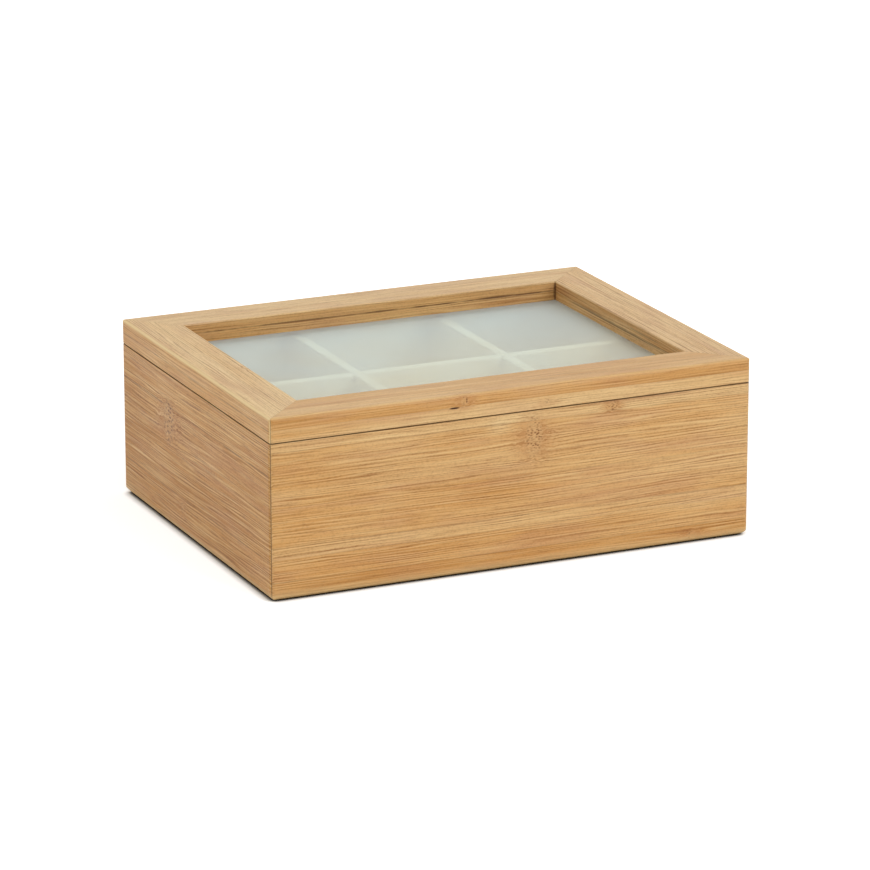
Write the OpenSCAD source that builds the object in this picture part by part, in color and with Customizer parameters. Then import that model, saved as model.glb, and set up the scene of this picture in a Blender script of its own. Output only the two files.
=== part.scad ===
// Tea bag organizer box: a mitred bamboo box with six compartments and a hinged, glazed lid.
// Millimetres. X runs along the front, +Y to the back, +Z up.
// The origin is the middle of the base's underside, where the box stands on the table.

/* [Box body] */
// Outer width, along the front
body_w = 210; // [180:1:320]
// Outer depth, from front to back
body_d = 160; // [120:1:260]
// Height of the body, from the table to its rim
body_h = 64.6; // [45:0.1:120]
// Thickness of the four side panels
wall_t = 8; // [7.5:0.5:14]

/* [Base] */
// Thickness of the base panel
base_t = 4; // [3:0.5:8]
// Width of the rebate that the base sits in, cut into the side panels
base_rebate = 3; // [2:0.5:3.5]
// Play between the base and its rebate, on each side
base_play = 0.2; // [0.1:0.05:0.5]

/* [Dividers] */
// Thickness of the dividers
divider_t = 4.5; // [3:0.1:8]
// How far the dividers stay below the rim
divider_drop = 0.5; // [0.2:0.1:5]
// Depth of the housings in the side panels that hold the divider ends
housing_depth = 2; // [1:0.5:4]
// Play of a divider in its housing and in its halving joint, on each side
divider_play = 0.1; // [0.05:0.05:0.3]
// Radius of the dividers' eased top edges
divider_ease = 0.5; // [0.2:0.1:1.2]

/* [Lid frame] */
// Thickness of the lid
lid_t = 10.1; // [8:0.1:18]
// Width of the lid's rails
rail_w = 20; // [14:0.5:32]
// Seam that the hinges leave between the rim and the lid
lid_gap = 0.3; // [0.2:0.05:0.8]

/* [Window pane] */
// Thickness of the pane
pane_t = 2; // [1:0.5:4]
// Width of the rebate under the rails that the pane sits in
pane_lap = 4; // [2:0.5:8]
// Play between the pane and its rebate, on each side
pane_play = 0.2; // [0.1:0.05:0.5]

/* [Eased edges] */
// Radius of the body's lower edges
bottom_r = 4; // [1:0.5:4.5]
// Radius of the upright corners
corner_r = 1.8; // [0.5:0.1:3]
// Radius of the lid's upper outer edges
lid_r = 1.4; // [0.4:0.1:3]
// Radius of the edges along the seam
seam_r = 0.4; // [0.2:0.1:1]
// Radius of the upper edges round the window
window_r = 0.5; // [0.2:0.1:2]

/* [Hinges] */
// Distance from the end of the box to the middle of a hinge
hinge_inset = 45; // [30:1:55]
// Length of a hinge
hinge_len = 25; // [18:1:30]
// Width of a leaf on the rim
leaf_w = 7; // [5:0.5:7.5]
// Thickness of the leaves
leaf_t = 1; // [0.8:0.1:1.4]
// Outer diameter of the knuckles
knuckle_d = 4; // [3.6:0.2:6]
// Diameter of the hinge pin
pin_d = 2; // [1.4:0.1:2.4]
// Running clearance round the pin
pin_play = 0.05; // [0.02:0.01:0.1]
// Gap between two knuckles, along the pin
knuckle_gap = 0.2; // [0.1:0.05:0.5]
// Gap between the knuckles and the back of the box
back_gap = 0.3; // [0.2:0.05:1]
// Angle at which the stop tail holds the open lid, in degrees
open_angle = 100; // [90:1:110]
// Length of the stop tail, from the pin's axis
tail_len = 5.5; // [4:0.1:8]
// Gap between the stop tail and the back panel when the lid is open
tail_play = 0.2; // [0.1:0.05:0.5]
// Play of a leaf in its recess, at each end and at its inner edge
leaf_play = 0.1; // [0.05:0.05:0.3]
// Diameter of the pin's peened ends
peen_d = 2.8; // [2.6:0.1:3.4]
// Height of the pin's peened ends
peen_h = 0.5; // [0.3:0.1:1]

/* [Hinge screws] */
// Diameter of the shank
screw_d = 2; // [1.6:0.1:2.4]
// Diameter of the countersunk head
screw_head_d = 3.6; // [3:0.1:4.2]
// Length of a screw, with its head
screw_len = 8; // [5:0.5:8.5]
// Length of the pointed end
screw_tip = 1.5; // [0.5:0.1:3]
// Distance between the two screws of a leaf
screw_spacing = 16; // [12:0.5:22]
// Width of a slot of the cross recess
cross_w = 0.5; // [0.3:0.1:0.8]
// Length of a slot of the cross recess
cross_len = 2; // [1.2:0.1:2.4]
// Depth of the cross recess
cross_depth = 0.6; // [0.3:0.1:0.8]
// Clearance round a screw
screw_play = 0.05; // [0.02:0.01:0.1]

/* [Hidden] */

$fn = 48;
cut = 1;  // how far a cutting shape runs past the face that it cuts

inside_w = body_w - 2 * wall_t;
inside_d = body_d - 2 * wall_t;

cell_w = (inside_w - 2 * divider_t) / 3;        // three compartments side by side
short_x = (cell_w + divider_t) / 2;             // middle plane of a short divider
divider_top = body_h - divider_drop;
halving_z = (base_t + divider_top) / 2;         // where the halving joints meet

lid_z = body_h + lid_gap;                       // underside of the lid
window_w = body_w - 2 * rail_w;
window_d = body_d - 2 * rail_w;

hinge_x = body_w / 2 - hinge_inset;
axis_y = body_d / 2 + back_gap + knuckle_d / 2;
axis_z = body_h + lid_gap / 2;
knuckle_len = (hinge_len - 2 * knuckle_gap) / 3;
knuckle_step = knuckle_len + knuckle_gap;
leaf_mid_y = body_d / 2 - leaf_w / 2;
tail_off = knuckle_d / 2 + back_gap - tail_play;

bamboo = "#d0a06b";
bamboo_lid = "#d3a873";
pale_ply = "#dccba2";
pane_green = "#c9d8cc";
brass = "#c9a24f";

// ---------- Shared shapes ----------

// What rounding takes off a square corner at the origin that opens towards +X and +Y
module corner_waste(r) {
    difference() {
        translate([-cut, -cut]) square(r + cut);
        translate([r, r]) circle(r);
    }
}

// Runs a profile, drawn as Y across and Z up, along the X axis
module along_x(len) {
    rotate([90, 0, 90]) linear_extrude(len, center = true) children();
}

// A bar with its outer face towards -Y at far, cut at 45 degrees at both ends; the child is its profile
module mitred_bar(len, far, thick, high) {
    intersection() {
        translate([0, -far, 0]) along_x(len) children();
        linear_extrude(high)
            polygon([[-len / 2, -far], [len / 2, -far],
                     [len / 2 - thick, thick - far], [thick - len / 2, thick - far]]);
    }
}

// The waste of all four upright corners, from the table to the lid's top
module upright_corner_waste() {
    for (sx = [0, 1], sy = [0, 1])
        mirror([sx, 0, 0]) mirror([0, sy, 0])
            translate([-body_w / 2, -body_d / 2, -cut])
                linear_extrude(lid_z + lid_t + 2 * cut) corner_waste(corner_r);
}

// ---------- Body ----------

// Section of a side panel: outer face at 0, rebate for the base at the lower inner corner
module panel_profile() {
    difference() {
        square([wall_t, body_h]);
        corner_waste(bottom_r);
        translate([0, body_h]) mirror([0, 1]) corner_waste(seam_r);
        translate([wall_t - base_rebate, -cut]) square([base_rebate + cut, base_t + cut]);
    }
}

// Slot in the inner face of a panel that lies towards -Y, for a divider that meets it at x
module divider_housing(x, far) {
    slot_w = divider_t + 2 * divider_play;
    translate([x - slot_w / 2, wall_t - housing_depth - far, base_t])
        cube([slot_w, housing_depth + cut, body_h]);
}

// One side panel with its outer face towards -Y at far, and a housing at each place in housings
module side_panel(len, far, housings) {
    difference() {
        mitred_bar(len, far, wall_t, body_h) panel_profile();
        for (x = housings) divider_housing(x, far);
    }
}

module front_panel() {
    color(bamboo) difference() {
        side_panel(body_w, body_d / 2, [-short_x, short_x]);
        upright_corner_waste();
    }
}

module back_panel() {
    color(bamboo) difference() {
        rotate(180) side_panel(body_w, body_d / 2, [-short_x, short_x]);
        upright_corner_waste();
        for (x = [-hinge_x, hinge_x]) {
            leaf_recess(x);
            translate([0, 0, body_h]) screw_places(x) mirror([0, 0, 1]) screw_hole();
        }
    }
}

module left_panel() {
    color(bamboo) difference() {
        rotate(-90) side_panel(body_d, body_w / 2, [0]);
        upright_corner_waste();
    }
}

module right_panel() {
    color(bamboo) difference() {
        rotate(90) side_panel(body_d, body_w / 2, [0]);
        upright_corner_waste();
    }
}

module base_panel() {
    base_w = inside_w + 2 * (base_rebate - base_play);
    base_d = inside_d + 2 * (base_rebate - base_play);
    color(pale_ply) translate([-base_w / 2, -base_d / 2, 0]) cube([base_w, base_d, base_t]);
}

// ---------- Dividers ----------

// A divider along X that stands on the base, with its top edges eased
module divider_board(len) {
    high = divider_top - base_t;
    translate([0, -divider_t / 2, base_t]) along_x(len) difference() {
        square([divider_t, high]);
        translate([0, high]) mirror([0, 1]) corner_waste(divider_ease);
        translate([divider_t, high]) mirror([1, 0]) mirror([0, 1]) corner_waste(divider_ease);
    }
}

module long_divider() {
    len = inside_w + 2 * (housing_depth - divider_play);
    slot_w = divider_t + 2 * divider_play;
    color(pale_ply) difference() {
        divider_board(len);
        for (x = [-short_x, short_x])
            translate([x - slot_w / 2, -divider_t, halving_z - divider_play])
                cube([slot_w, 2 * divider_t, body_h]);
    }
}

module short_divider(x) {
    len = inside_d + 2 * (housing_depth - divider_play);
    slot_w = divider_t + 2 * divider_play;
    color(pale_ply) translate([x, 0, 0]) difference() {
        rotate(90) divider_board(len);
        translate([-divider_t, -slot_w / 2, base_t - cut])
            cube([2 * divider_t, slot_w, halving_z + divider_play - base_t + cut]);
    }
}

module short_divider_left() { short_divider(-short_x); }

module short_divider_right() { short_divider(short_x); }

// ---------- Lid ----------

// Section of a rail: outer face at 0, underside at 0, rebate for the pane at the lower inner corner
module rail_profile() {
    difference() {
        square([rail_w, lid_t]);
        corner_waste(seam_r);
        translate([0, lid_t]) mirror([0, 1]) corner_waste(lid_r);
        translate([rail_w, lid_t]) mirror([1, 0]) mirror([0, 1]) corner_waste(window_r);
        translate([rail_w - pane_lap, -cut]) square([pane_lap + cut, pane_t + cut]);
    }
}

// One lid rail with its outer face towards -Y at far
module rail(len, far) {
    translate([0, 0, lid_z]) mitred_bar(len, far, rail_w, lid_t) rail_profile();
}

module lid_front_rail() {
    color(bamboo_lid) difference() {
        rail(body_w, body_d / 2);
        upright_corner_waste();
    }
}

module lid_back_rail() {
    color(bamboo_lid) difference() {
        rotate(180) rail(body_w, body_d / 2);
        upright_corner_waste();
        for (x = [-hinge_x, hinge_x]) {
            leaf_recess(x);
            translate([0, 0, lid_z]) screw_places(x) screw_hole();
        }
    }
}

module lid_left_rail() {
    color(bamboo_lid) difference() {
        rotate(-90) rail(body_d, body_w / 2);
        upright_corner_waste();
    }
}

module lid_right_rail() {
    color(bamboo_lid) difference() {
        rotate(90) rail(body_d, body_w / 2);
        upright_corner_waste();
    }
}

module window_pane() {
    pane_w = window_w + 2 * (pane_lap - pane_play);
    pane_d = window_d + 2 * (pane_lap - pane_play);
    color(pane_green) translate([-pane_w / 2, -pane_d / 2, lid_z]) cube([pane_w, pane_d, pane_t]);
}

// ---------- Hinges ----------

// Recess that takes both leaves of a hinge, in the rim and under the lid, open to the back
module leaf_recess(x) {
    recess_w = hinge_len + 2 * leaf_play;
    translate([x - recess_w / 2, body_d / 2 - leaf_w - leaf_play, body_h - leaf_t])
        cube([recess_w, leaf_w + leaf_play + cut, 2 * leaf_t + lid_gap]);
}

// Puts its child at the two screws of a leaf
module screw_places(x) {
    for (s = [-1, 1]) translate([x + s * screw_spacing / 2, leaf_mid_y, 0]) children();
}

// A screw along +Z from its countersunk face at 0
module screw() {
    difference() {
        union() {
            cylinder(h = leaf_t, d1 = screw_head_d, d2 = screw_d);
            cylinder(h = screw_len - screw_tip, d = screw_d);
            translate([0, 0, screw_len - screw_tip]) cylinder(h = screw_tip, d1 = screw_d, d2 = cross_w);
        }
        for (a = [0, 90]) rotate(a)
            translate([-cross_len / 2, -cross_w / 2, -cut]) cube([cross_len, cross_w, cut + cross_depth]);
    }
}

// The hole for a screw, in the wood and in the leaf
module screw_hole() {
    hole_d = screw_d + 2 * screw_play;
    sink_d = screw_head_d + 2 * screw_play;
    cylinder(h = leaf_t, d1 = sink_d, d2 = hole_d);
    cylinder(h = screw_len + screw_play, d = hole_d);
}

// A knuckle round the pin's axis, with its middle at x
module knuckle(x) {
    translate([x, axis_y, axis_z]) rotate([0, 90, 0])
        cylinder(h = knuckle_len, d = knuckle_d, center = true);
}

// A leaf's plate with its underside at z, and the tangs that carry the knuckles at knuckle_xs
module leaf(x, z, knuckle_xs) {
    translate([x - hinge_len / 2, body_d / 2 - leaf_w, z]) cube([hinge_len, leaf_w, leaf_t]);
    for (kx = knuckle_xs) {
        translate([kx - knuckle_len / 2, body_d / 2 - leaf_w, z])
            cube([knuckle_len, leaf_w + axis_y - body_d / 2, leaf_t]);
        knuckle(kx);
    }
}

module pin_bore(x) {
    translate([x, axis_y, axis_z]) rotate([0, 90, 0])
        cylinder(h = hinge_len + 2 * cut, d = pin_d + 2 * pin_play, center = true);
}

// The tail that meets the back panel when the lid is open and so stops it
module stop_tail(x) {
    translate([x - knuckle_len / 2, axis_y, axis_z]) rotate([open_angle - 90, 0, 0])
        translate([0, 0, -tail_off]) cube([knuckle_len, tail_len, leaf_t]);
}

module hinge_body_leaf(x) {
    color(brass) difference() {
        leaf(x, body_h - leaf_t, [x - knuckle_step, x + knuckle_step]);
        pin_bore(x);
        translate([0, 0, body_h]) screw_places(x) mirror([0, 0, 1]) screw_hole();
    }
}

module hinge_lid_leaf(x) {
    color(brass) difference() {
        union() {
            leaf(x, lid_z, [x]);
            stop_tail(x);
        }
        pin_bore(x);
        translate([0, 0, lid_z]) screw_places(x) screw_hole();
    }
}

module hinge_pin(x) {
    pin_len = hinge_len + 2 * pin_play;
    color(brass) translate([x, axis_y, axis_z]) rotate([0, 90, 0]) {
        cylinder(h = pin_len, d = pin_d, center = true);
        for (s = [0, 1]) mirror([0, 0, s])
            translate([0, 0, pin_len / 2]) cylinder(h = peen_h, d1 = peen_d, d2 = pin_d);
    }
}

module hinge_body_leaf_left() { hinge_body_leaf(-hinge_x); }

module hinge_body_leaf_right() { hinge_body_leaf(hinge_x); }

module hinge_lid_leaf_left() { hinge_lid_leaf(-hinge_x); }

module hinge_lid_leaf_right() { hinge_lid_leaf(hinge_x); }

module hinge_pin_left() { hinge_pin(-hinge_x); }

module hinge_pin_right() { hinge_pin(hinge_x); }

// ---------- Hinge screws ----------

module body_leaf_screws(x) {
    color(brass) translate([0, 0, body_h]) screw_places(x) mirror([0, 0, 1]) screw();
}

module lid_leaf_screws(x) {
    color(brass) translate([0, 0, lid_z]) screw_places(x) screw();
}

module body_leaf_screws_left() { body_leaf_screws(-hinge_x); }

module body_leaf_screws_right() { body_leaf_screws(hinge_x); }

module lid_leaf_screws_left() { lid_leaf_screws(-hinge_x); }

module lid_leaf_screws_right() { lid_leaf_screws(hinge_x); }

front_panel();
back_panel();
left_panel();
right_panel();
base_panel();
long_divider();
short_divider_left();
short_divider_right();
lid_front_rail();
lid_back_rail();
lid_left_rail();
lid_right_rail();
window_pane();
hinge_body_leaf_left();
hinge_body_leaf_right();
hinge_lid_leaf_left();
hinge_lid_leaf_right();
hinge_pin_left();
hinge_pin_right();
body_leaf_screws_left();
body_leaf_screws_right();
lid_leaf_screws_left();
lid_leaf_screws_right();
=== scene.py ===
import math
import bpy
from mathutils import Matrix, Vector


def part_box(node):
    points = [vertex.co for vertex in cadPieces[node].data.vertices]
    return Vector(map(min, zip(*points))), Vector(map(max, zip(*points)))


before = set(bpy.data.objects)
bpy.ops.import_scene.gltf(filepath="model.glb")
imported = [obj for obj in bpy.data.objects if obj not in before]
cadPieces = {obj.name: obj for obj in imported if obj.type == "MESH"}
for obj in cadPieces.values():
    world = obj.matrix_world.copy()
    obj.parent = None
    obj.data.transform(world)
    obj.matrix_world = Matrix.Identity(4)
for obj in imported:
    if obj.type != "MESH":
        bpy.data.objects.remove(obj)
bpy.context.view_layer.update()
bpy.ops.object.select_all(action="DESELECT")
print("frame loaded:", len(cadPieces), "pieces")

perMetre = 1000.0  # the patterns are drawn in millimetres, on Object coordinates in metres
noiseSpan = (0.3, 0.7)  # a noise texture's values lie between these nearly everywhere

camera = {
    "place": (-0.78381, -1.73303, 0.60736),  # metres, to the left and half a metre above the lid
    "lookDown": 16.786,  # degrees
    "turnRight": 24.376,
    "lens": 199.88,  # mm on a 36 mm sensor
    "sensor": 36.0,
    "clip": (0.05, 50.0),  # metres
}

light = {
    "sky": 0.79,  # the studio's even white walls, as the box is lit by them
    "seenWhite": 1.0,  # the same walls as the camera, gloss and glass see them
    "lampPlace": (0.95, -2.05, 1.12),
    "lampSize": 1.1,
    "lampPower": 14.5,
}

floorLook = {
    "size": 8.0,
    "colour": "F2F2F0",  # matt white paper
    "contact": "2A1C14",  # the line of shadow right under the box's lower edges
    "contactReach": 0.0026,  # metres
    "contactOpen": (0.2, 0.55),  # how open the paper lies where that shadow is full and where it ends
    "lift": 0.5,  # brings the lit paper to plain white and leaves the shadow
    "liftReach": 0.005,
    "liftOpen": (0.45, 0.8),
    "roughness": 0.9,
}


def fromHex(code):  # an sRGB hex colour as the linear colour that a node wants
    parts = [int(code[i:i + 2], 16) / 255 for i in (0, 2, 4)]
    return tuple(p / 12.92 if p <= 0.04045 else ((p + 0.055) / 1.055) ** 2.4 for p in parts) + (1.0,)


def addNode(tree, kind, *inputs, **settings):  # inputs in their order, or by name in a dictionary
    node = tree.nodes.new("ShaderNode" + kind)
    for name, value in settings.items():
        setattr(node, name, value)
    inOrder = [part for part in inputs if not isinstance(part, dict)]
    wanted = list(zip([socket for socket in node.inputs if socket.enabled], inOrder))
    for part in inputs:
        if isinstance(part, dict):
            wanted += [(node.inputs[name], value) for name, value in part.items()]
    for socket, value in wanted:
        if isinstance(value, bpy.types.Node):  # a node stands for its first output in use
            value = next(output for output in value.outputs if output.enabled)
        if isinstance(value, bpy.types.NodeSocket):
            tree.links.new(value, socket)
        else:
            socket.default_value = value
    return node


def newMaterial(name):
    material = bpy.data.materials.new(name)
    material.use_nodes = True
    material.node_tree.nodes.clear()
    return material, material.node_tree


def placeInMm(tree):  # where the point lies in the frame
    return addNode(tree, "VectorMath", addNode(tree, "TexCoord").outputs["Object"], perMetre, operation="SCALE")


def softSpot(tree, place, mark, core=0.2):  # an oval, full in its core and fading to nothing at its reach
    away = addNode(tree, "VectorMath", place, mark["at"], operation="SUBTRACT")
    away = addNode(tree, "VectorMath", away, mark["reach"], operation="DIVIDE")
    far = addNode(tree, "VectorMath", away, operation="LENGTH")
    return addNode(tree, "MapRange", far, core, 1.0, mark["strength"], 0.0, interpolation_type="SMOOTHSTEP")


def fibreLayer(tree, grain, length, width, seed, detail=2.0):  # streaks of that size in mm, around 0.5
    cells = addNode(tree, "Mapping", grain, (seed * 1.37, seed * 2.11, seed * 0.73), (0.0, 0.0, 0.0),
                    (1.0 / length, 1.0 / width, 1.0 / width))
    return addNode(tree, "TexNoise", {"Vector": cells, "Scale": 1.0, "Detail": detail, "Roughness": 0.55})


# Flat pressed bamboo under satin lacquer: wide strips, long fine fibres, and rings of short dark
# flecks where the stem had its joints. It gives a warm, softly banded, slightly shiny tan.
bamboo = {
    "deep": "BE843E",
    "mid": "D6A160",
    "pale": "EBC992",
    "rose": "C4906A",
    "joint": "B27444",
    "fibre": "8A5526",
    "light": "F2D59C",
    "fleck": "74421F",
    "glueAndShade": "3E210C",
    "inside": "F2F0E0",  # the paler veneer inside the box
    # The length and width of each kind of mark, in mm. Lines and hairs are drawn about twice as coarse
    # as they are, so that they show.
    "lines": (45.0, 0.55),
    "hairs": (8.0, 0.50),
    "pores": (1.1, 0.6),
    "bundles": (42.0, 1.6),  # how far a bundle stays in sight
    "streaks": (90.0, 2.0),
    "bands": (160.0, 5.5),
    "clouds": (70.0, 18.0),
    "blushes": (45.0, 9.0),
    "specks": (3.0, 2.4),
    "gluePatches": (9.0, 3.0),
    "wanders": (120.0, 24.0),
    "swerves": (4.2, 1.7),
    "slips": (70.0, 4.0),
    # The noise values between which each kind comes into view.
    "linesFrom": (0.50, 0.68),
    "lightLinesFrom": (0.50, 0.32),
    "hairsFrom": (0.54, 0.70),
    "poresFrom": (0.46, 0.72),
    "bundlesFrom": (0.38, 0.60),
    "streaksFrom": (0.54, 0.74),
    "blushesFrom": (0.48, 0.70),
    "specksFrom": (0.38, 0.60),
    "gluePatchesFrom": (0.36, 0.62),
    "fleckHalf": (0.12, 0.46),  # a fleck's dark middle and soft rim, as shares of its cell
    # How much of its own colour each brings at most.
    "linesDepth": 0.20,
    "hairsDepth": 0.20,
    "poresDepth": 0.20,
    "bundleDepth": 0.42,
    "streaksDepth": 0.08,
    "blush": 0.4,
    "jointDepth": 0.40,
    "jointLight": 0.14,
    "mitre": 0.8,  # the glue line where two boards meet at 45 degrees
    "seam": 0.75,  # painted shade on the arrises where the lid meets the body, standing in for the shade in the gap between them
    "lowEdgeBounceLight": 0.66,  # painted light: the rounded lower edges painted paler, standing in for light bounced up from the floor
    "veneerLines": 0.25,
    "bandsDepth": 0.09,  # in tone, which runs from deep at 0 through mid at 0.5 to pale at 1
    "cloudsDepth": 0.10,
    # How far the fibres stray.
    "wander": 1.1,  # mm that they drift from straight
    "swerve": 3.6,  # mm that they swerve at a joint
    "slip": 24.0,  # radians by which the bundles' even spacing goes astray
    "nextPiece": 41.3,  # mm through the pattern from one strip's fibres to the next one's
    # Where lines and edges start and end to fade, in mm.
    "lineHalf": (0.12, 0.42),
    "mitreHalf": (0.08, 0.42),
    "mitreDown": (1.2, 0.3),  # below the lid's top, where the mitre line hardly shows
    "lidGap": 0.3,  # between the rim and the lid
    "seamHalf": (0.15, 0.34),
    "seamSkin": 0.7,  # the painted seam shade darkens the outside only
    "veneerSkin": (0.2, 0.1),
    "arris": (0.5, 1.2),  # from the edge inwards
    "lowEdgeHigh": (1.0, 4.5),  # from the floor up
    "roughness": (0.41, 0.54),
    "relief": 0.00003,  # metres, as sanded and lacquered
}

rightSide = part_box("right_panel")[1]
boxHalf = {"x": rightSide[0] * perMetre, "y": -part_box("front_panel")[0][1] * perMetre}  # mm
rimHigh = rightSide[2] * perMetre
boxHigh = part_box("lid_front_rail")[1][2] * perMetre


def bambooMaterial(name, board):
    material, tree = newMaterial(name)
    place = placeInMm(tree)
    xyz = addNode(tree, "SeparateXYZ", place)
    along, across, through = [xyz.outputs["XYZ".index(board[way])] for way in ("along", "across", "through")]
    seed = board["seed"]

    # At a joint the fibres crowd and swerve, and elsewhere they only wander.
    joints, columns = 0.0, 0.0
    for knot in board["knots"]:
        joints = addNode(tree, "Math", softSpot(tree, place, knot), joints, operation="MAXIMUM")
        column = {"at": knot["at"], "reach": knot["column"], "strength": knot["strength"]}
        columns = addNode(tree, "Math", softSpot(tree, place, column, 0.5), columns, operation="MAXIMUM")
    straight = addNode(tree, "CombineXYZ", along, across, through)
    wander = addNode(tree, "MapRange", fibreLayer(tree, straight, *bamboo["wanders"], seed, 0.0), 0.0, 1.0,
                     -bamboo["wander"], bamboo["wander"])
    swerve = addNode(tree, "MapRange", fibreLayer(tree, straight, *bamboo["swerves"], seed + 5), 0.0, 1.0,
                     -bamboo["swerve"], bamboo["swerve"])
    shift = addNode(tree, "Math", swerve, joints, wander, operation="MULTIPLY_ADD")
    wavy = addNode(tree, "Math", across, shift, operation="ADD")

    # Every strip and layer is a piece of stem of its own, with its own tone and fibres.
    tone, pieceShift, glueLine = board["tone"], 0.0, 0.0
    for way, steps in ((across, board["strips"]), (through, board["layers"])):
        for edge, change, line in steps:
            past = addNode(tree, "Math", way, edge, operation="GREATER_THAN")
            tone = addNode(tree, "Math", past, change, tone, operation="MULTIPLY_ADD")
            pieceShift = addNode(tree, "Math", past, bamboo["nextPiece"], pieceShift, operation="MULTIPLY_ADD")
            off = addNode(tree, "Math", way, edge, operation="SUBTRACT")
            off = addNode(tree, "Math", off, operation="ABSOLUTE")
            near = addNode(tree, "MapRange", off, *bamboo["lineHalf"], line, 0.0)
            glueLine = addNode(tree, "Math", near, glueLine, operation="MAXIMUM")
    deep = addNode(tree, "Math", through, pieceShift, operation="ADD")
    grain = addNode(tree, "CombineXYZ", along, wavy, deep)

    bands = fibreLayer(tree, grain, *bamboo["bands"], seed + 9, 3.0)
    clouds = fibreLayer(tree, grain, *bamboo["clouds"], seed + 13)
    for layer, depth in ((bands, bamboo["bandsDepth"]), (clouds, bamboo["cloudsDepth"])):
        swing = addNode(tree, "MapRange", layer, *noiseSpan, -depth, depth)
        tone = addNode(tree, "Math", swing, tone, operation="ADD")
    for patch in board["patches"]:
        tone = addNode(tree, "Math", softSpot(tree, place, patch, 0.0), tone, operation="ADD")
    lower = addNode(tree, "MapRange", tone, 0.0, 0.5)
    upper = addNode(tree, "MapRange", tone, 0.5, 1.0)
    colour = addNode(tree, "Mix", lower, fromHex(bamboo["deep"]), fromHex(bamboo["mid"]), data_type="RGBA")
    colour = addNode(tree, "Mix", upper, colour, fromHex(bamboo["pale"]), data_type="RGBA")
    blush = fibreLayer(tree, grain, *bamboo["blushes"], seed + 21)
    blush = addNode(tree, "MapRange", blush, *bamboo["blushesFrom"], board["rose"],
                    board["rose"] + bamboo["blush"])
    colour = addNode(tree, "Mix", blush, colour, fromHex(bamboo["rose"]), data_type="RGBA")

    # The fibres: bundles at nearly even spacing, each in sight for a short way, with loose dark and light
    # lines and short vessels between them.
    lineLength, lineWidth = bamboo["lines"]
    hairLength, hairWidth = bamboo["hairs"]
    lines = fibreLayer(tree, grain, lineLength * board["run"], lineWidth, seed + 3)
    streaks = fibreLayer(tree, grain, *bamboo["streaks"], seed + 31)
    hairs = fibreLayer(tree, grain, hairLength * board["run"], hairWidth, seed + 17, 1.0)
    beside = addNode(tree, "Math", wavy, deep, operation="ADD")
    turns = addNode(tree, "Math", beside, 2.0 * math.pi / board["spacing"], operation="MULTIPLY")
    slip = fibreLayer(tree, grain, *bamboo["slips"], seed + 61)
    turns = addNode(tree, "Math", slip, bamboo["slip"], turns, operation="MULTIPLY_ADD")
    ripple = addNode(tree, "Math", turns, operation="SINE")
    bundleLength, bundleWidth = bamboo["bundles"]
    parts = fibreLayer(tree, grain, bundleLength * board["run"], bundleWidth, seed + 67)
    shown = addNode(tree, "MapRange", parts, *bamboo["bundlesFrom"], 0.0, bamboo["bundleDepth"] * board["depth"])
    threads = addNode(tree, "MapRange", ripple, 0.0, 1.0)
    between = addNode(tree, "MapRange", ripple, 0.0, -1.0, 0.0, 0.7)
    lineDepth = bamboo["linesDepth"] * board["depth"]
    darkLines = addNode(tree, "MapRange", lines, *bamboo["linesFrom"], 0.0, lineDepth)
    darkStreaks = addNode(tree, "MapRange", streaks, *bamboo["streaksFrom"], 0.0, bamboo["streaksDepth"])
    darkHairs = addNode(tree, "MapRange", hairs, *bamboo["hairsFrom"], 0.0, bamboo["hairsDepth"] * board["depth"])
    dark = addNode(tree, "Math", darkLines, darkStreaks, operation="ADD")
    dark = addNode(tree, "Math", dark, darkHairs, operation="ADD")
    pores = fibreLayer(tree, grain, *bamboo["pores"], seed + 71, 1.0)
    pores = addNode(tree, "MapRange", pores, *bamboo["poresFrom"], 0.0, bamboo["poresDepth"] * board["depth"])
    dark = addNode(tree, "Math", dark, pores, operation="ADD")
    dark = addNode(tree, "Math", threads, shown, dark, operation="MULTIPLY_ADD", use_clamp=True)
    lightLines = addNode(tree, "MapRange", lines, *bamboo["lightLinesFrom"], 0.0, lineDepth)
    colour = addNode(tree, "Mix", dark, colour, fromHex(bamboo["fibre"]), data_type="RGBA")
    pale = addNode(tree, "Math", between, shown, lightLines, operation="MULTIPLY_ADD", use_clamp=True)
    colour = addNode(tree, "Mix", pale, colour, fromHex(bamboo["light"]), data_type="RGBA")

    # The joint itself: a reddish patch with short dark flecks.
    inJoint = addNode(tree, "Math", joints, bamboo["jointDepth"], operation="MULTIPLY")
    colour = addNode(tree, "Mix", inJoint, colour, fromHex(bamboo["joint"]), data_type="RGBA")
    outward = addNode(tree, "Math", across, through, operation="ADD")
    fleckPlace = addNode(tree, "Mapping", addNode(tree, "CombineXYZ", along, outward), (seed, seed * 1.7, 0.0),
                         (0.0, 0.0, 0.0), (1.0 / board["fleck"][0], 1.0 / board["fleck"][1], 1.0))
    fleckCells = addNode(tree, "TexVoronoi", {"Vector": fleckPlace, "Scale": 1.0, "Randomness": 1.0},
                         voronoi_dimensions="2D")
    flecks = addNode(tree, "MapRange", fleckCells, *bamboo["fleckHalf"], 1.0, 0.0,
                     interpolation_type="SMOOTHSTEP")
    patchy = fibreLayer(tree, straight, *bamboo["specks"], seed + 51)
    patchy = addNode(tree, "MapRange", patchy, *bamboo["specksFrom"], 0.2, 1.0)
    flecks = addNode(tree, "Math", addNode(tree, "Math", flecks, patchy, operation="MULTIPLY"), columns,
                     operation="MULTIPLY")
    halo = addNode(tree, "Math", columns, bamboo["jointLight"], operation="MULTIPLY")
    colour = addNode(tree, "Mix", halo, colour, fromHex(bamboo["light"]), data_type="RGBA")
    colour = addNode(tree, "Mix", flecks, colour, fromHex(bamboo["fleck"]), data_type="RGBA")

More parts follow.
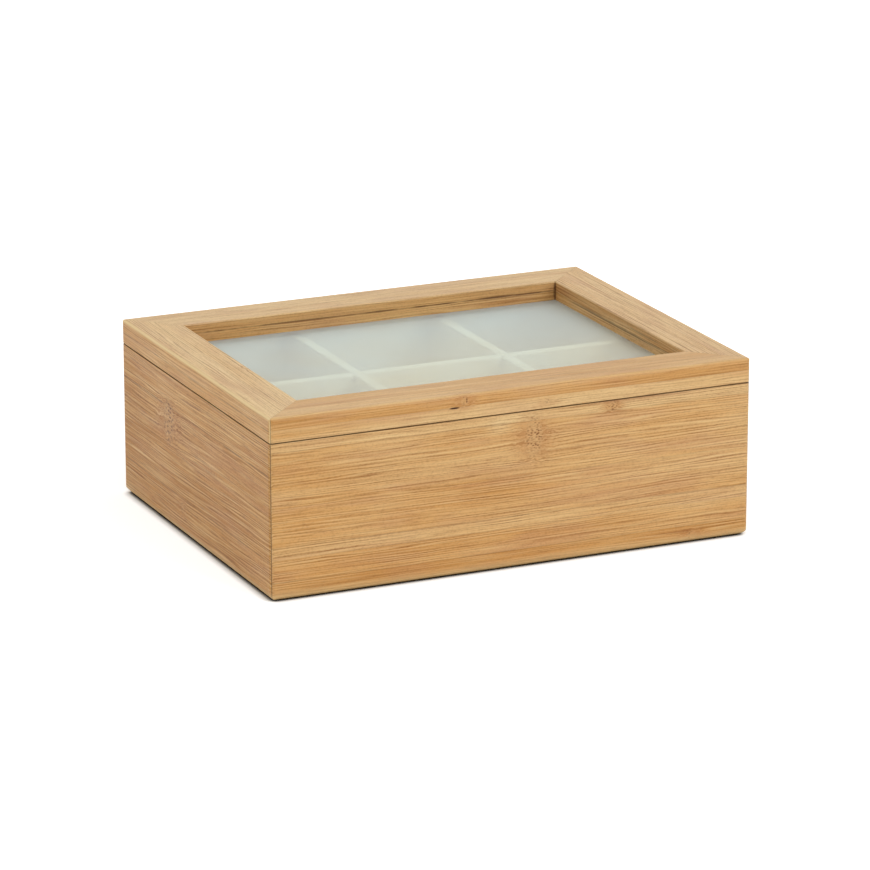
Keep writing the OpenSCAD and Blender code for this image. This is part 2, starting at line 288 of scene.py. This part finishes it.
    # How far the point lies in from the box's nearest side, and from its front or back.
    fromSide = addNode(tree, "Math", xyz.outputs["X"], operation="ABSOLUTE")
    fromSide = addNode(tree, "Math", boxHalf["x"], fromSide, operation="SUBTRACT")
    fromFront = addNode(tree, "Math", xyz.outputs["Y"], operation="ABSOLUTE")
    fromFront = addNode(tree, "Math", boxHalf["y"], fromFront, operation="SUBTRACT")
    nearest = addNode(tree, "Math", fromSide, fromFront, operation="MINIMUM")
    high = xyz.outputs["Z"]

    # Glue shows between strips, and as a hair line where two boards meet at 45 degrees.
    offMitre = addNode(tree, "Math", fromSide, fromFront, operation="SUBTRACT")
    offMitre = addNode(tree, "Math", offMitre, operation="ABSOLUTE")
    fadeFrom, fadeTo = [boxHigh - down for down in bamboo["mitreDown"]]
    onTop = addNode(tree, "MapRange", high, fadeFrom, fadeTo, bamboo["mitre"], bamboo["mitre"] * 0.1)
    mitre = addNode(tree, "MapRange", offMitre, *bamboo["mitreHalf"], onTop, 0.0)
    uneven = fibreLayer(tree, straight, *bamboo["gluePatches"], seed + 43)
    uneven = addNode(tree, "MapRange", uneven, *bamboo["gluePatchesFrom"], 0.25, 1.0)
    glueLine = addNode(tree, "Math", glueLine, uneven, operation="MULTIPLY")
    glueAndShade = addNode(tree, "Math", mitre, glueLine, operation="MAXIMUM")
    # Painted shade: a dark band in the glue colour along the gap between rim and lid, on the outer skin, standing
    # in for the shade in that gap.
    toSeam = addNode(tree, "Math", high, rimHigh + bamboo["lidGap"] / 2.0, operation="SUBTRACT")
    toSeam = addNode(tree, "Math", toSeam, operation="ABSOLUTE")
    paintedSeamShade = addNode(tree, "MapRange", toSeam, *bamboo["seamHalf"], bamboo["seam"], 0.0)
    outer = addNode(tree, "Math", nearest, bamboo["seamSkin"], operation="LESS_THAN")
    glueAndShade = addNode(tree, "Math", addNode(tree, "Math", paintedSeamShade, outer, operation="MULTIPLY"), glueAndShade,
                   operation="MAXIMUM")
    for mark in board["marks"]:
        glueAndShade = addNode(tree, "Math", softSpot(tree, place, mark, 0.5), glueAndShade, operation="MAXIMUM")
    colour = addNode(tree, "Mix", glueAndShade, colour, fromHex(bamboo["glueAndShade"]), data_type="RGBA")

    # Inside the box the boards are faced with a paler, plainer veneer.
    veneerFrom, veneerTo = [board["wall"] - skin for skin in bamboo["veneerSkin"]]
    insideX = addNode(tree, "MapRange", fromSide, veneerFrom, veneerTo)
    insideY = addNode(tree, "MapRange", fromFront, veneerFrom, veneerTo)
    below = addNode(tree, "Math", high, rimHigh - bamboo["veneerSkin"][0], operation="LESS_THAN")
    inside = addNode(tree, "Math", addNode(tree, "Math", insideX, insideY, operation="MULTIPLY"), below,
                     operation="MULTIPLY")
    veneer = addNode(tree, "Mix", addNode(tree, "Math", dark, bamboo["veneerLines"], operation="MULTIPLY"),
                     fromHex(bamboo["inside"]), fromHex(bamboo["mid"]), data_type="RGBA")
    colour = addNode(tree, "Mix", inside, colour, veneer, data_type="RGBA")

    # The arrises are a little paler from sanding by hand. On the lid's left rail, where the wear is set high, the
    # paleness is a painted highlight along the rounded top arris.
    fromTop = addNode(tree, "Math", boxHigh, high, operation="SUBTRACT")
    second = addNode(tree, "Math", fromSide, fromFront, operation="MAXIMUM")
    offTop = addNode(tree, "Math", nearest, fromTop, operation="MAXIMUM")
    offArris = addNode(tree, "Math", second, offTop, operation="MINIMUM")
    worn = addNode(tree, "MapRange", offArris, *bamboo["arris"], board["wear"], 0.0)
    # Painted light: the lowest few mm are painted paler, standing in for floor bounce on the rounded lower edges.
    paintedBounceLight = addNode(tree, "MapRange", high, *bamboo["lowEdgeHigh"], bamboo["lowEdgeBounceLight"], 0.0)
    worn = addNode(tree, "Math", worn, paintedBounceLight, operation="MAXIMUM")
    colour = addNode(tree, "Mix", worn, colour, fromHex(bamboo["light"]), data_type="RGBA")

    relief = addNode(tree, "Math", 1.0, addNode(tree, "Math", dark, flecks, operation="MAXIMUM"),
                     operation="SUBTRACT")
    bump = addNode(tree, "Bump", {"Strength": 0.6, "Distance": bamboo["relief"], "Height": relief})
    shine = addNode(tree, "MapRange", lines, *noiseSpan, *bamboo["roughness"])
    shader = addNode(tree, "BsdfPrincipled", {"Base Color": colour, "Roughness": shine, "IOR": 1.45,
                                              "Specular IOR Level": 0.33, "Normal": bump})
    addNode(tree, "OutputMaterial", shader)
    return material


# Strips lie one above the other on a panel, and layers one behind the other: where each begins in mm,
# how much paler than the last it is, and how strongly its glue line shows. The fibres swerve within a
# knot's reach, and the flecks fill its column. A patch is paler or darker wood, except the paler patch on the
# right rail's well face, which is painted light. A mark is a spot of dark glue, except down the well's inner
# back-right corner, where it is painted shade. Depth, run and spacing set how strong, how long and how many mm
# apart the bundles are.
frontBoard = {
    "along": "X", "across": "Z", "through": "Y", "seed": 2.0, "wall": 8.0,
    "depth": 1.0, "run": 1.0, "spacing": 1.15, "wear": 0.10, "rose": 0.0,
    "tone": 0.38, "layers": [],
    "strips": [(7.8, 0.18, 0.25), (17.0, 0.16, 0.1), (22.0, -0.15, 0.25), (38.0, 0.04, 0.1), (60.6, 0.12, 0.2)],
    "knots": [
        {"at": (8.4, -80.0, 53.5), "reach": (14.0, 30.0, 15.0), "column": (4.6, 30.0, 11.0), "strength": 0.9},
        {"at": (43.0, -80.0, 62.4), "reach": (8.0, 30.0, 5.0), "column": (2.8, 30.0, 2.8), "strength": 0.75},
        {"at": (79.5, -80.0, 3.6), "reach": (10.0, 30.0, 4.0), "column": (3.2, 30.0, 2.2), "strength": 0.7},
    ],
    "fleck": (1.6, 0.85),
    "patches": [
        {"at": (-7.0, -80.0, 59.5), "reach": (8.0, 30.0, 4.0), "strength": 0.22},
        {"at": (43.0, -80.0, 62.2), "reach": (7.0, 30.0, 3.0), "strength": -0.30},
        {"at": (-14.0, -80.0, 33.5), "reach": (52.0, 30.0, 6.5), "strength": -0.28},
        {"at": (0.0, -80.0, 62.5), "reach": (19.0, 30.0, 4.5), "strength": 0.12},
        {"at": (95.0, -80.0, 40.0), "reach": (75.0, 30.0, 50.0), "strength": 0.06},
    ],
    "marks": [],
}
backBoard = {
    "along": "X", "across": "Z", "through": "Y", "seed": 11.0, "wall": 8.0,
    "depth": 1.0, "run": 1.0, "spacing": 1.15, "wear": 0.15, "rose": 0.0,
    "tone": 0.44, "layers": [],
    "strips": [(14.0, 0.10, 0.2), (34.0, -0.12, 0.25), (54.0, 0.08, 0.15)],
    "knots": [
        {"at": (-52.0, 80.0, 44.0), "reach": (15.0, 30.0, 12.0), "column": (4.5, 30.0, 9.0), "strength": 1.0},
        {"at": (31.0, 80.0, 24.0), "reach": (13.0, 30.0, 11.0), "column": (4.0, 30.0, 8.0), "strength": 0.9},
        {"at": (88.0, 80.0, 6.0), "reach": (10.0, 30.0, 6.0), "column": (3.0, 30.0, 4.0), "strength": 0.8},
    ],
    "fleck": (2.3, 2.9), "patches": [], "marks": [],
}
leftBoard = {
    "along": "Y", "across": "Z", "through": "X", "seed": 23.0, "wall": 8.0,
    "depth": 1.3, "run": 0.9, "spacing": 1.25, "wear": 0.10, "rose": 0.0,
    "tone": 0.22, "layers": [],
    "strips": [(16.2, -0.04, 0.4), (35.0, 0.10, 0.15), (51.2, 0.10, 0.55)],
    "knots": [
        {"at": (-105.0, 27.5, 45.0), "reach": (30.0, 20.0, 15.0), "column": (30.0, 7.0, 13.0), "strength": 0.95},
        {"at": (-105.0, 14.0, 12.0), "reach": (30.0, 9.0, 7.0), "column": (30.0, 3.0, 3.0), "strength": 0.5},
    ],
    "fleck": (3.0, 1.5),
    "patches": [
        {"at": (-105.0, -20.0, 22.0), "reach": (30.0, 60.0, 11.0), "strength": -0.16},
        {"at": (-105.0, 78.0, 40.0), "reach": (30.0, 52.0, 60.0), "strength": -0.22},
    ],
    "marks": [],
}
rightBoard = {
    "along": "Y", "across": "Z", "through": "X", "seed": 37.0, "wall": 8.0,
    "depth": 1.2, "run": 1.0, "spacing": 1.4, "wear": 0.15, "rose": 0.0,
    "tone": 0.46, "layers": [],
    "strips": [(11.0, -0.08, 0.2), (31.0, 0.12, 0.3), (51.0, -0.06, 0.2)],
    "knots": [
        {"at": (105.0, -33.0, 41.0), "reach": (30.0, 16.0, 12.0), "column": (30.0, 4.5, 9.0), "strength": 1.0},
        {"at": (105.0, 46.0, 20.0), "reach": (30.0, 13.0, 10.0), "column": (30.0, 4.0, 7.0), "strength": 0.9},
    ],
    "fleck": (2.2, 2.7), "patches": [], "marks": [],
}
frontRail = {
    "along": "X", "across": "Y", "through": "Z", "seed": 51.0, "wall": 20.0,
    "depth": 0.75, "run": 1.0, "spacing": 1.15, "wear": 0.15, "rose": 0.0,
    "tone": 0.84, "strips": [(-70.5, -0.05, 0.05)],
    "layers": [(70.0, -0.40, 0.12), (74.6, 0.26, 0.0)],
    "knots": [
        {"at": (-22.0, -80.0, 72.0), "reach": (9.0, 7.0, 5.0), "column": (2.2, 6.0, 2.4), "strength": 0.9},
        {"at": (14.3, -80.0, 67.3), "reach": (8.0, 7.0, 3.4), "column": (2.0, 6.0, 1.5), "strength": 0.6},
    ],
    "fleck": (1.05, 1.6),
    "patches": [
        {"at": (-96.0, -80.0, 67.5), "reach": (60.0, 6.0, 4.0), "strength": -0.30},
        {"at": (-100.0, -80.0, 73.5), "reach": (60.0, 6.0, 4.0), "strength": -0.16},
    ],
    "marks": [{"at": (-26.4, -80.0, 69.8), "reach": (2.8, 0.9, 0.5), "strength": 1.0}],
}
backRail = {
    "along": "X", "across": "Y", "through": "Z", "seed": 63.0, "wall": 20.0,
    "depth": 0.9, "run": 1.0, "spacing": 1.15, "wear": 0.20, "rose": 0.10,
    "tone": 0.60, "strips": [(69.0, 0.04, 0.05)],
    "layers": [(71.0, -0.02, 0.8), (74.4, 0.38, 0.0)],
    "knots": [{"at": (22.0, 80.0, 70.0), "reach": (9.0, 9.0, 7.0), "column": (2.0, 6.0, 5.0), "strength": 0.6}],
    "fleck": (1.6, 1.8), "patches": [],
    "marks": [
        {"at": (-32.0, 60.0, 71.0), "reach": (30.0, 1.0, 0.5), "strength": 0.6},
        {"at": (3.0, 60.0, 71.0), "reach": (6.0, 1.0, 0.6), "strength": 0.6},
        {"at": (57.0, 60.0, 71.1), "reach": (13.0, 1.0, 0.6), "strength": 0.7},
        # Painted shade: a dark streak down the well's inner back-right corner.
        {"at": (85.0, 60.0, 70.5), "reach": (1.1, 1.1, 6.0), "strength": 0.6},
    ],
}
leftRail = {
    "along": "Y", "across": "X", "through": "Z", "seed": 77.0, "wall": 20.0,
    # The high wear here paints a highlight along the rail's rounded outer top arris.
    "depth": 0.9, "run": 1.0, "spacing": 1.15, "wear": 0.95, "rose": 0.0,
    "tone": 0.52, "strips": [(-94.5, -0.04, 0.05)],
    "layers": [(69.6, 0.03, 0.4), (74.4, 0.44, 0.0)],
    "knots": [{"at": (-86.5, -10.0, 75.0), "reach": (5.0, 8.0, 6.0), "column": (2.0, 2.0, 2.0), "strength": 0.45}],
    "fleck": (1.6, 1.8), "marks": [],
    "patches": [{"at": (-105.0, 76.0, 69.0), "reach": (8.0, 50.0, 9.0), "strength": -0.26}],
}
rightRail = {
    "along": "Y", "across": "X", "through": "Z", "seed": 85.0, "wall": 20.0,
    "depth": 1.0, "run": 1.0, "spacing": 1.15, "wear": 0.20, "rose": 0.10,
    "tone": 0.50, "strips": [(96.0, 0.04, 0.05)],
    "layers": [(70.5, -0.06, 0.5), (74.4, 0.40, 0.0)],
    "knots": [],
    "fleck": (1.6, 1.8),
    # Painted light: this paler patch covers the whole inner face of the well, brightening a face that sits in
    # shade.
    "patches": [{"at": (85.0, 0.0, 70.0), "reach": (2.0, 90.0, 6.0), "strength": 0.25}],
    "marks": [
        # Painted shade: a dark streak down the well's inner back-right corner.
        {"at": (85.0, 60.0, 70.5), "reach": (1.1, 1.1, 6.0), "strength": 0.6},
        {"at": (85.0, 4.0, 70.0), "reach": (1.1, 54.0, 0.6), "strength": 0.5},
        {"at": (85.0, -24.0, 72.4), "reach": (1.1, 20.0, 0.5), "strength": 0.4},
    ],
}

# Sanded poplar ply, unlacquered: nearly even pale cream with a faint straight grain.
plywood = {
    "pale": "FAF0D2",
    "grain": "E4D6AE",
    "edge": "B9A87E",
    "grainSize": (40.0, 1.1),  # mm
    "grainFrom": (0.4, 0.75),  # the noise values between which it comes into view
    "grainDepth": 0.6,
    "cloudSize": (30.0, 18.0),
    "cloudFrom": (0.4, 0.8),
    "cloudDepth": 0.25,
    "roughness": 0.62,
    "relief": 0.00003,
}


def plywoodMaterial(name, along, across, through, seed):
    material, tree = newMaterial(name)
    xyz = addNode(tree, "SeparateXYZ", placeInMm(tree))
    place = addNode(tree, "CombineXYZ", *[xyz.outputs["XYZ".index(way)] for way in (along, across, through)])
    grain = fibreLayer(tree, place, *plywood["grainSize"], seed, 3.0)
    clouds = fibreLayer(tree, place, *plywood["cloudSize"], seed + 4)
    inGrain = addNode(tree, "MapRange", grain, *plywood["grainFrom"], 0.0, plywood["grainDepth"])
    inClouds = addNode(tree, "MapRange", clouds, *plywood["cloudFrom"], 0.0, plywood["cloudDepth"])
    colour = addNode(tree, "Mix", inGrain, fromHex(plywood["pale"]), fromHex(plywood["grain"]), data_type="RGBA")
    colour = addNode(tree, "Mix", inClouds, colour, fromHex(plywood["edge"]), data_type="RGBA")
    bump = addNode(tree, "Bump", {"Strength": 0.5, "Distance": plywood["relief"], "Height": grain})
    shader = addNode(tree, "BsdfPrincipled", {"Base Color": colour, "Roughness": plywood["roughness"],
                                              "Normal": bump})
    addNode(tree, "OutputMaterial", shader)
    return material


# A 2 mm clear sheet with a milky haze: pale and matt, with only a soft view of the dividers below it.
hazySheet = {
    "veil": "F9EFDC",
    "coolHazeAndReflection": "F2FAFC",
    "paintedReflectionCool": 0.45,  # painted reflection: the haze is painted cooler to the back, standing in for the room's far side mirrored in it
    "paintedReflectionReach": 60.0,  # mm from the middle
    "cloudSize": 45.0,  # mm
    "cloudShare": (0.3, 0.7),  # of the cool haze in the warm one
    "passing": "F6FBFA",
    "haze": 0.39,  # the share of the view that each face's haze covers
    "hazeToLight": 0.05,  # most light goes on through the haze, a little scattered
    "roughness": 0.6,
}


def hazyMaterial(name):
    material, tree = newMaterial(name)
    place = placeInMm(tree)
    cloud = fibreLayer(tree, place, hazySheet["cloudSize"], hazySheet["cloudSize"], 5.0)
    cloud = addNode(tree, "MapRange", cloud, *noiseSpan, *hazySheet["cloudShare"])
    # Painted reflection: more of the cool haze colour towards the back, as the room's far side mirrored in the
    # sheet.
    back = addNode(tree, "SeparateXYZ", place).outputs["Y"]
    paintedReflection = addNode(tree, "MapRange", back, -hazySheet["paintedReflectionReach"], hazySheet["paintedReflectionReach"],
                     -hazySheet["paintedReflectionCool"], hazySheet["paintedReflectionCool"])
    cloud = addNode(tree, "Math", cloud, paintedReflection, operation="ADD", use_clamp=True)
    veil = addNode(tree, "Mix", cloud, fromHex(hazySheet["veil"]), fromHex(hazySheet["coolHazeAndReflection"]),
                   data_type="RGBA")
    haze = addNode(tree, "BsdfPrincipled", {"Base Color": veil, "Roughness": hazySheet["roughness"],
                                            "Specular IOR Level": 0.2})
    passing = addNode(tree, "BsdfTransparent", fromHex(hazySheet["passing"]))
    path = addNode(tree, "LightPath")
    lit = addNode(tree, "Math", path.outputs["Is Shadow Ray"], path.outputs["Is Diffuse Ray"], operation="MAXIMUM")
    share = addNode(tree, "MapRange", lit, 0.0, 1.0, hazySheet["haze"], hazySheet["hazeToLight"])
    addNode(tree, "OutputMaterial", addNode(tree, "MixShader", share, passing, haze))
    return material


# Brass plated steel, tumbled: a warm yellow metal with fine cloudy wear.
brass = {
    "worn": "B08B48",
    "wornFrom": (0.35, 0.7),
    "leaf": {"tint": "C9A35A", "roughness": (0.24, 0.40), "cloud": 6.0},  # clouds of that size in mm
    "pin": {"tint": "B08B48", "roughness": (0.22, 0.38), "cloud": 2.0},
    "screw": {"tint": "C9A35A", "roughness": (0.16, 0.32), "cloud": 1.5},
}


def brassMaterial(name, finish):
    material, tree = newMaterial(name)
    cloud = fibreLayer(tree, placeInMm(tree), finish["cloud"], finish["cloud"], 1.0, 4.0)
    wear = addNode(tree, "MapRange", cloud, *brass["wornFrom"])
    colour = addNode(tree, "Mix", wear, fromHex(finish["tint"]), fromHex(brass["worn"]), data_type="RGBA")
    dull = addNode(tree, "MapRange", cloud, *noiseSpan, *finish["roughness"])
    shader = addNode(tree, "BsdfPrincipled", {"Base Color": colour, "Metallic": 1.0, "Roughness": dull})
    addNode(tree, "OutputMaterial", shader)
    return material


def dress(piece, material):
    cadPieces[piece].data.materials.clear()
    cadPieces[piece].data.materials.append(material)


boards = {
    "front_panel": frontBoard, "back_panel": backBoard, "left_panel": leftBoard, "right_panel": rightBoard,
    "lid_front_rail": frontRail, "lid_back_rail": backRail, "lid_left_rail": leftRail, "lid_right_rail": rightRail,
}
for piece, board in boards.items():
    dress(piece, bambooMaterial("lacqueredBamboo_" + piece, board))
print("bamboo boards dressed:", len(boards))

dress("base_panel", plywoodMaterial("sandedPly_base", "X", "Y", "Z", 3.0))
dress("long_divider", plywoodMaterial("sandedPly_long", "X", "Z", "Y", 7.0))
for side, seed in (("left", 12.0), ("right", 19.0)):
    dress("short_divider_" + side, plywoodMaterial("sandedPly_short_" + side, "Y", "Z", "X", seed))
dress("window_pane", hazyMaterial("hazySheet"))
leafFinish = brassMaterial("platedBrassLeaf", brass["leaf"])
pinFinish = brassMaterial("drawnBrassPin", brass["pin"])
screwFinish = brassMaterial("polishedBrassScrew", brass["screw"])
for side in ("left", "right"):
    dress("hinge_body_leaf_" + side, leafFinish)
    dress("hinge_lid_leaf_" + side, leafFinish)
    dress("hinge_pin_" + side, pinFinish)
    dress("body_leaf_screws_" + side, screwFinish)
    dress("lid_leaf_screws_" + side, screwFinish)
print("ply, sheet and brass dressed")


def whiteSeen(tree):  # 1 for what the camera, gloss and glass see, and 0 for light on the box
    path = addNode(tree, "LightPath")
    seen = addNode(tree, "Math", path.outputs["Is Camera Ray"], path.outputs["Is Glossy Ray"], operation="MAXIMUM")
    return addNode(tree, "Math", seen, path.outputs["Is Transmission Ray"], operation="MAXIMUM")


def makeFloor():
    bpy.ops.mesh.primitive_plane_add(size=floorLook["size"])
    floor = bpy.context.object
    floor.name = "paperFloor"
    material, tree = newMaterial("mattWhitePaper")
    gap = addNode(tree, "AmbientOcclusion", {"Distance": floorLook["contactReach"]}).outputs["AO"]
    near = addNode(tree, "AmbientOcclusion", {"Distance": floorLook["liftReach"]}).outputs["AO"]
    clear = addNode(tree, "MapRange", gap, *floorLook["contactOpen"])
    paper = addNode(tree, "Mix", clear, fromHex(floorLook["contact"]), fromHex(floorLook["colour"]),
                    data_type="RGBA")
    sheet = addNode(tree, "BsdfDiffuse", paper, floorLook["roughness"])
    lift = addNode(tree, "MapRange", near, *floorLook["liftOpen"], 0.0, floorLook["lift"])
    seenLift = addNode(tree, "Math", whiteSeen(tree), lift, operation="MULTIPLY")
    glow = addNode(tree, "Emission", {"Strength": seenLift})
    addNode(tree, "OutputMaterial", addNode(tree, "AddShader", sheet, glow))
    floor.data.materials.append(material)


def makeWorld():
    world = bpy.data.worlds.new("whiteStudio")
    world.use_nodes = True
    world.node_tree.nodes.clear()
    tree = world.node_tree
    strength = addNode(tree, "MapRange", whiteSeen(tree), 0.0, 1.0, light["sky"], light["seenWhite"])
    addNode(tree, "OutputWorld", addNode(tree, "Background", (1.0, 1.0, 1.0, 1.0), strength))
    bpy.context.scene.world = world


def makeLamp():
    bpy.ops.object.light_add(type="AREA", location=light["lampPlace"])
    lamp = bpy.context.object
    lamp.name = "softbox"
    lamp.data.size = light["lampSize"]
    lamp.data.energy = light["lampPower"]
    lamp.rotation_euler = (-lamp.location).to_track_quat("-Z", "Y").to_euler()
    lamp.visible_camera = False


def makeCamera():
    turn = (math.radians(90.0 - camera["lookDown"]), 0.0, math.radians(-camera["turnRight"]))
    bpy.ops.object.camera_add(location=camera["place"], rotation=turn)
    eye = bpy.context.object
    eye.data.sensor_width = camera["sensor"]
    eye.data.lens = camera["lens"]
    eye.data.clip_start, eye.data.clip_end = camera["clip"]
    bpy.context.scene.camera = eye


makeFloor()
makeWorld()
makeLamp()
makeCamera()
bpy.context.scene.view_settings.view_transform = "Standard"
print("floor, light and camera placed")
